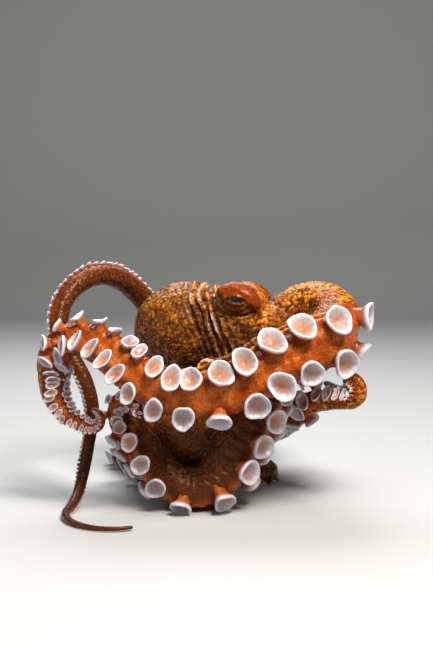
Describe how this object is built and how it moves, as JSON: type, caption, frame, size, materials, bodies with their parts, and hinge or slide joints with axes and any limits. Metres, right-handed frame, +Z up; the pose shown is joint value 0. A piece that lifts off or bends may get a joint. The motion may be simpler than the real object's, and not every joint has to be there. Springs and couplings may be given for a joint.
{
  "type": "octopus",
  "caption": "Life-size octopus in a carried pose: rounded mantle and head over a bundle of curling arms with rows of suckers, resting on its lower arms.",
  "frame": {"origin": "centre of the bounding box, at the floor it rests on", "axes": "+X to the right and +Y away as seen from the side with the large row of suckers, +Z up"},
  "size_m": [0.2084, 0.2554, 0.1498],
  "materials": {
    "mantle_skin": "moist, finely wrinkled, golden brown over dark brown",
    "arm_skin": "moist, rust orange with pale suckers",
    "eye": "wet and glossy"
  },
  "bodies": {
    "root": {"arm_left_1_a": "arm_skin", "arm_left_1_b": "arm_skin", "arm_left_1_c": "arm_skin", "arm_left_1_d": "arm_skin", "arm_left_1_e": "arm_skin", "arm_left_2_a": "arm_skin", "arm_left_2_b": "arm_skin", "arm_left_2_c": "arm_skin", "arm_left_2_d": "arm_skin", "arm_left_2_e": "arm_skin", "arm_left_2_f": "arm_skin", "arm_left_3_a": "arm_skin", "arm_left_3_b": "arm_skin", "arm_left_3_c": "arm_skin", "arm_left_4_a": "arm_skin", "arm_left_4_b": "arm_skin", "arm_left_4_c": "arm_skin", "arm_right_1_a": "arm_skin", "arm_right_1_b": "arm_skin", "arm_right_1_c": "arm_skin", "arm_right_1_d": "arm_skin", "arm_right_1_e": "arm_skin", "arm_right_1_f": "arm_skin", "arm_right_2_a": "arm_skin", "arm_right_2_b": "arm_skin", "arm_right_2_c": "arm_skin", "arm_right_3_a": "arm_skin", "arm_right_3_b": "arm_skin", "arm_right_3_c": "arm_skin", "arm_right_4_a": "arm_skin", "arm_right_4_b": "arm_skin", "arm_right_4_c": "arm_skin", "crown": "mantle_skin", "eye_left": "eye", "eye_right": "eye", "funnel": "mantle_skin", "head": "mantle_skin", "mantle": "mantle_skin"}
  },
  "joints": []
}
